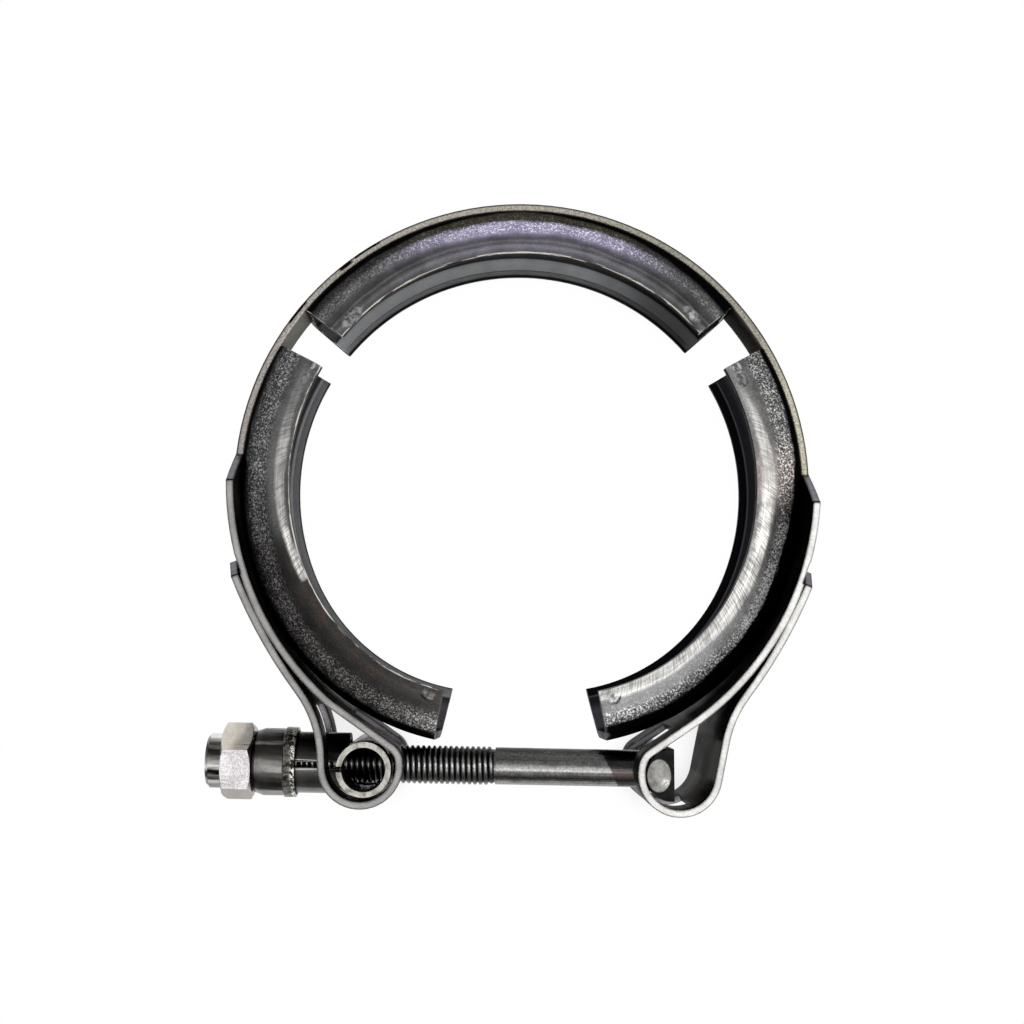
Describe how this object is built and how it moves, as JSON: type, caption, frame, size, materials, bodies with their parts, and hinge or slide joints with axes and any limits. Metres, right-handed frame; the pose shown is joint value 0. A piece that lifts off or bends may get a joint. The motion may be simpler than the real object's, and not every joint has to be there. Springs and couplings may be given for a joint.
{
  "type": "v band clamp",
  "caption": "V band clamp: a strap with V segments inside, drawn tight by a T bolt, trunnion, thrust cup and lock nut to join two flanged pipe ends.",
  "frame": {"origin": "centre of the ring, at half of the strap's width", "axes": "+Z along the pipe axis, the bolt lies along X on the -Y side, with the nut towards -X"},
  "size_m": [0.0992, 0.1009, 0.0254],
  "materials": {
    "strap_steel": "satin stainless strip",
    "insert_steel": "pressed stainless sheet, rough at the bends",
    "trunnion_steel": "formed steel sheet",
    "bolt_steel": "dark forged steel, rolled thread",
    "cup_steel": "dark olive brown steel",
    "nut_steel": "plated steel, granular"
  },
  "bodies": {
    "band": {"strap": "strap_steel", "insert_top": "insert_steel", "insert_left": "insert_steel", "insert_right": "insert_steel"},
    "bolt_line": {"t_bolt": "bolt_steel", "trunnion": "trunnion_steel"},
    "thrust_cup": {"thrust_cup": "cup_steel"},
    "lock_nut": {"lock_nut": "nut_steel"}
  },
  "joints": [
    {"name": "bolt_swivel", "type": "hinge", "parent": "band", "child": "bolt_line", "pos_m": [0.0231, -0.0468, 0], "axis": [0, 0, 1], "range_deg": [-0.3, 0.3]},
    {"name": "nut_travel", "type": "slide", "parent": "bolt_line", "child": "thrust_cup", "axis": [-0.9998, 0.0216, 0], "range_m": [0, 0.00454]},
    {"name": "nut_turn", "type": "hinge", "parent": "thrust_cup", "child": "lock_nut", "pos_m": [-0.0465, -0.04529, 0], "axis": [-0.9998, 0.0216, 0], "range_deg": [0, 1800]}
  ],
  "couplings": [
    {"joint": "nut_travel", "follows": "nut_turn", "m_per_rad": 0.00014435}
  ]
}
